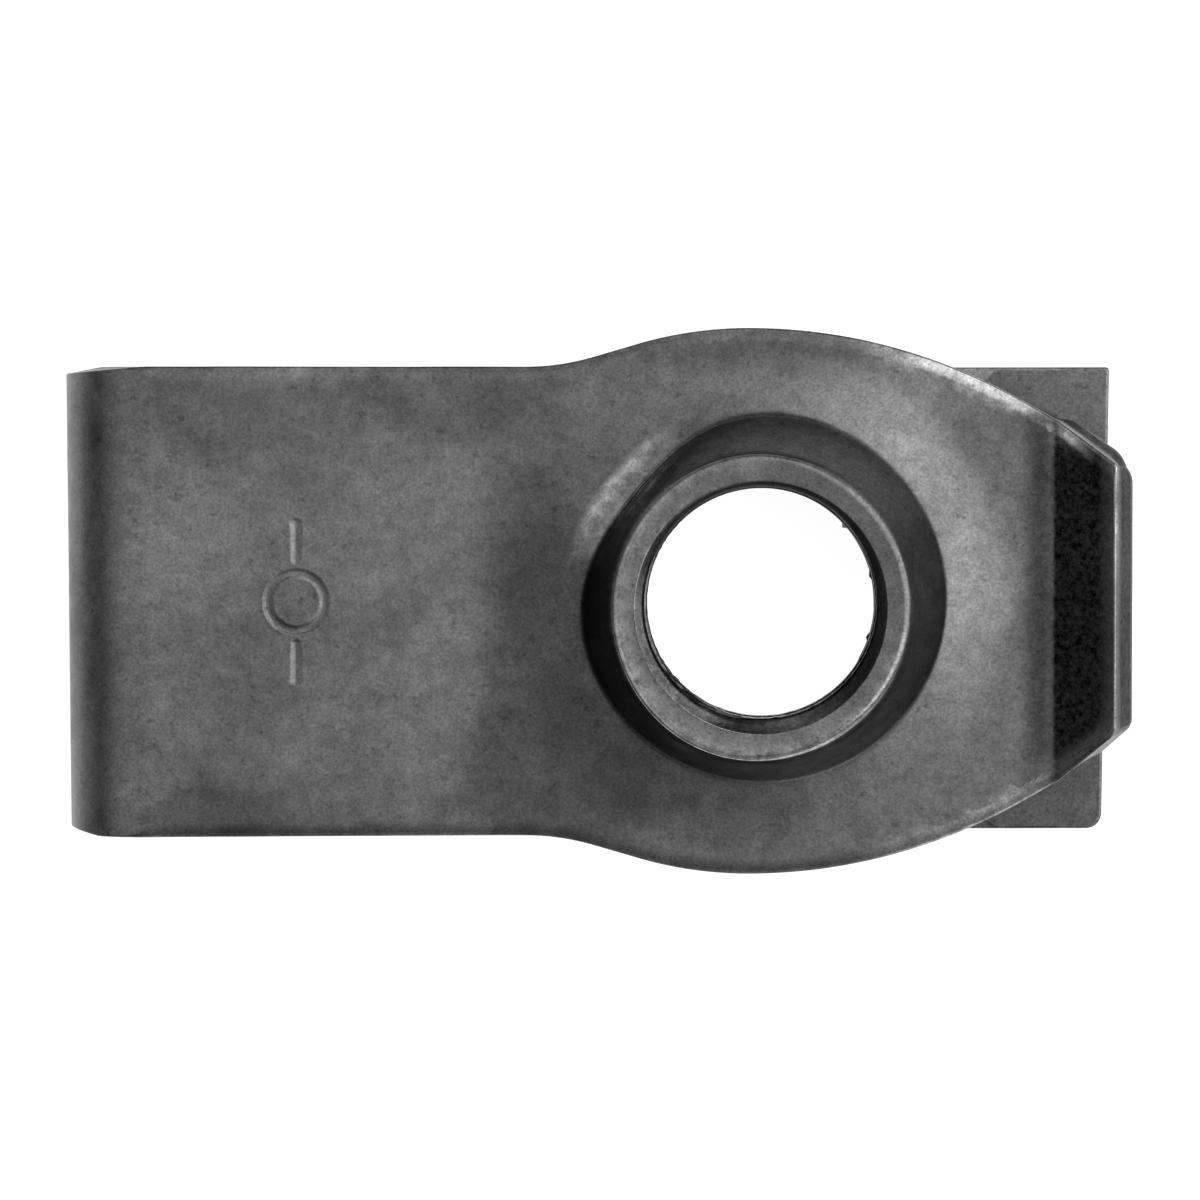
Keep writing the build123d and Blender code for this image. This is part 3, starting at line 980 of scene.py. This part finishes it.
def black_phosphate():
    """Dark satin conversion coat on steel: a metal base whose tone drifts over millimetres and is
    mottled and grainy below that, painted brighter and darker from the nut's painted highlights,
    painted shade and wear, and a little smoother where those lie."""
    material = bpy.data.materials.new("black_phosphate_steel")
    material.use_nodes = True
    nodes, links = material.node_tree.nodes, material.node_tree.links
    shader = nodes["Principled BSDF"]
    shader.inputs["Metallic"].default_value = 1.0
    spot = nodes.new("ShaderNodeTexCoord").outputs["Object"]

    def noise(size, detail, roughness=0.5):
        """Noise whose lumps are size millimetres across."""
        node = nodes.new("ShaderNodeTexNoise")
        node.inputs["Scale"].default_value = 1 / (size * MM)
        node.inputs["Detail"].default_value = detail
        node.inputs["Roughness"].default_value = roughness
        links.new(spot, node.inputs["Vector"])
        return node.outputs["Fac"]

    def combined(kind, a, b):
        """a and b, numbers or sockets, put together by one kind of arithmetic."""
        node = nodes.new("ShaderNodeMath")
        node.operation = kind
        for socket, value in zip(node.inputs, (a, b)):
            if isinstance(value, (int, float)):
                socket.default_value = value
            else:
                links.new(value, socket)
        return node.outputs[0]

    def product(value, *others):
        """value times each of the others in turn."""
        for other in others:
            value = combined("MULTIPLY", value, other)
        return value

    def between(value, low, high, to_low, to_high):
        """value, eased from its stretch low to high onto the stretch to_low to to_high."""
        node = nodes.new("ShaderNodeMapRange")
        node.interpolation_type = "SMOOTHSTEP"
        links.new(value, node.inputs["Value"])
        for name, number in zip(
            ("From Min", "From Max", "To Min", "To Max"), (low, high, to_low, to_high)
        ):
            node.inputs[name].default_value = number
        return node.outputs["Result"]

    def attribute(name):
        """One of the values that the nut's nodes carry."""
        node = nodes.new("ShaderNodeAttribute")
        node.attribute_name = name
        return node.outputs["Fac"]

    def mixed(first, second, factor):
        """A colour that goes from one grey to another by a factor."""
        node = nodes.new("ShaderNodeMix")
        node.data_type = "RGBA"
        node.inputs["A"].default_value = (*first, 1)
        node.inputs["B"].default_value = (*second, 1)
        links.new(factor, node.inputs["Factor"])
        return node.outputs["Result"]

    drift = between(noise(4.5, 6, 0.6), 0.32, 0.68, 0.8, 1.14)
    mottle = between(noise(0.45, 4, 0.65), 0.28, 0.72, 0.87, 1.13)
    grain = between(noise(0.08, 3, 0.6), 0.25, 0.75, 0.74, 1.26)
    pits = between(noise(0.3, 3, 0.6), 0.3, 0.4, 0.7, 1.0)
    specks = between(noise(0.14, 1), 0.79, 0.86, 1.0, 2.0)
    tone = product(drift, mottle, grain, specks, pits)

    # ragged darker places
    ragged = combined("ADD", attribute("stain"), product(noise(1.3, 8, 0.68), 0.9))
    tone = product(tone, between(ragged, 0.62, 1.12, 1.0, 0.6))

    # painted highlights and wear along edges, unevenly, and painted shade and a darker coat
    highlight_and_rub = product(attribute("polish"), between(noise(0.5, 4, 0.7), 0.35, 0.65, 0.35, 0.9))
    shading_and_coat = product(attribute("struck"), between(noise(0.18, 8, 0.8), 0.36, 0.64, 1.0, 0.66))
    tone = product(tone, combined("ADD", highlight_and_rub, 1.0), combined("SUBTRACT", 1.0, shading_and_coat))

    # tone 1 is a quarter of the way to the palest coat, so that painted highlights and rubbed metal
    # have room above it
    black, palest = (0.0, 0.0, 0.0), (0.398, 0.398, 0.403)
    links.new(mixed(black, palest, product(tone, 0.25)), shader.inputs["Base Color"])

    # painted shade: where the nut is painted darker, its reflections seen edge on are dimmed too
    glancing, glancing_shaded = (1.0, 1.0, 1.0), (0.05, 0.05, 0.05)
    links.new(mixed(glancing, glancing_shaded, shading_and_coat), shader.inputs["Specular Tint"])

    matt = between(noise(0.8, 2), 0.3, 0.7, 0.33, 0.42)
    # a little smoother where highlights, shade and wear are painted
    highlight_shade_and_wear = combined("ADD", attribute("polish"), attribute("struck"))
    smoother = product(highlight_shade_and_wear, -0.07)
    links.new(combined("ADD", matt, smoother), shader.inputs["Roughness"])

    bump = nodes.new("ShaderNodeBump")
    bump.inputs["Strength"].default_value = 1.0
    bump.inputs["Distance"].default_value = 0.003 * MM
    links.new(noise(0.12, 2), bump.inputs["Height"])
    links.new(bump.outputs["Normal"], shader.inputs["Normal"])
    return material


nut.data.materials.append(black_phosphate())
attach(nut, "root")
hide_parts("u_nut")

# ---------------------------------------------------------------- floor, light and camera

WHITE = (1, 1, 1, 1)


def pale_floor():
    """White table: matt, so that it takes the nut's shadow, and with a glow of its own that
    only the camera and reflections see."""
    half, gap = 1500 * MM, 0.02 * MM  # half its side, and the gap under the nut
    matt_grey, glow_strength = (0.3, 0.3, 0.3, 1), 0.93
    z = NUT_LOW[2] * MM - gap
    mesh = bpy.data.meshes.new("table")
    corners = [(-half, -half, z), (half, -half, z), (half, half, z), (-half, half, z)]
    mesh.from_pydata(corners, [], [(0, 1, 2, 3)])
    table = bpy.data.objects.new("table", mesh)
    bpy.context.scene.collection.objects.link(table)
    paper = bpy.data.materials.new("white_paper")
    paper.use_nodes = True
    nodes, links = paper.node_tree.nodes, paper.node_tree.links
    nodes.clear()
    out = nodes.new("ShaderNodeOutputMaterial")
    both = nodes.new("ShaderNodeAddShader")
    matt = nodes.new("ShaderNodeBsdfDiffuse")
    matt.inputs["Color"].default_value = matt_grey
    glow = nodes.new("ShaderNodeEmission")
    glow.inputs["Color"].default_value = WHITE
    path = nodes.new("ShaderNodeLightPath")
    seen = nodes.new("ShaderNodeMath")
    seen.operation = "MAXIMUM"
    links.new(path.outputs["Is Camera Ray"], seen.inputs[0])
    links.new(path.outputs["Is Glossy Ray"], seen.inputs[1])
    level = nodes.new("ShaderNodeMath")
    level.operation = "MULTIPLY"
    level.inputs[1].default_value = glow_strength
    links.new(seen.outputs[0], level.inputs[0])
    links.new(level.outputs[0], glow.inputs["Strength"])
    links.new(matt.outputs[0], both.inputs[0])
    links.new(glow.outputs[0], both.inputs[1])
    links.new(both.outputs[0], out.inputs["Surface"])
    mesh.materials.append(paper)


pale_floor()

# soft panels round the table: direction, angle off it where the light ends, angle within which
# it is full, and strength
PANELS = [
    ((1.04, 0.32, 1), 50, 13, 4.2),
    ((-0.42, 0.72, 1), 42, 5, 0.65),
    ((-0.62, 0, 1), 40, 4, 0.98),
    ((0.45, -0.85, 0.12), 32, 4, 0.9),
    ((0.15, -0.75, 0.65), 45, 5, 0.3),
    ((0, 0, 1), 180, 100, 0.15),
]


def studio_light():
    """Soft light: a strong wide panel high towards +X, weak ones towards +Y, -X and -Y, and a
    faint glow all round from above. The camera sees plain white."""
    world = bpy.data.worlds.new("studio")
    bpy.context.scene.world = world
    world.use_nodes = True
    nodes, links = world.node_tree.nodes, world.node_tree.links
    nodes.clear()
    way = nodes.new("ShaderNodeTexCoord").outputs["Generated"]

    def panel(towards, wide, narrow, strength):
        """strength within the angle narrow of a direction, fading smoothly to 0 at wide."""
        aim = np.array(towards) / np.linalg.norm(towards)
        dot = nodes.new("ShaderNodeVectorMath")
        dot.operation = "DOT_PRODUCT"
        dot.inputs[1].default_value = aim
        links.new(way, dot.inputs[0])
        fade = nodes.new("ShaderNodeMapRange")
        fade.interpolation_type = "SMOOTHSTEP"
        fade.inputs["From Min"].default_value = cos(radians(wide))
        fade.inputs["From Max"].default_value = cos(radians(narrow))
        fade.inputs["To Max"].default_value = strength
        links.new(dot.outputs["Value"], fade.inputs["Value"])
        return fade.outputs["Result"]

    total, *others = (panel(*values) for values in PANELS)
    for other in others:
        add = nodes.new("ShaderNodeMath")
        add.operation = "ADD"
        links.new(total, add.inputs[0])
        links.new(other, add.inputs[1])
        total = add.outputs[0]
    light = nodes.new("ShaderNodeBackground")
    light.inputs["Color"].default_value = WHITE
    links.new(total, light.inputs["Strength"])
    white = nodes.new("ShaderNodeBackground")
    white.inputs["Color"].default_value = WHITE
    white.inputs["Strength"].default_value = 1.0
    path = nodes.new("ShaderNodeLightPath")
    pick = nodes.new("ShaderNodeMixShader")
    links.new(path.outputs["Is Camera Ray"], pick.inputs[0])
    links.new(light.outputs[0], pick.inputs[1])
    links.new(white.outputs[0], pick.inputs[2])
    out = nodes.new("ShaderNodeOutputWorld")
    links.new(pick.outputs[0], out.inputs["Surface"])


studio_light()


def overhead_camera():
    """A long lens that looks down on the nut, from 1.8 degrees off the vertical towards +Y."""
    distance, lean = 177.65, radians(1.8)
    aside = 0.09, 0.04  # from the middle of the nut to the middle of the view
    middle = (NUT_LOW[0] + NUT_HIGH[0]) / 2
    target = np.array([middle + aside[0], aside[1], PAD_TOP])
    camera = bpy.data.objects.new("camera", bpy.data.cameras.new("camera"))
    bpy.context.scene.collection.objects.link(camera)
    camera.location = (target + distance * np.array([0, sin(lean), cos(lean)])) * MM
    camera.rotation_euler = (-lean, 0, 0)
    camera.data.lens = 178.9
    camera.data.sensor_width = 36.0
    camera.data.clip_start = 10 * MM
    bpy.context.scene.camera = camera


overhead_camera()
bpy.context.scene.view_settings.view_transform = "Standard"
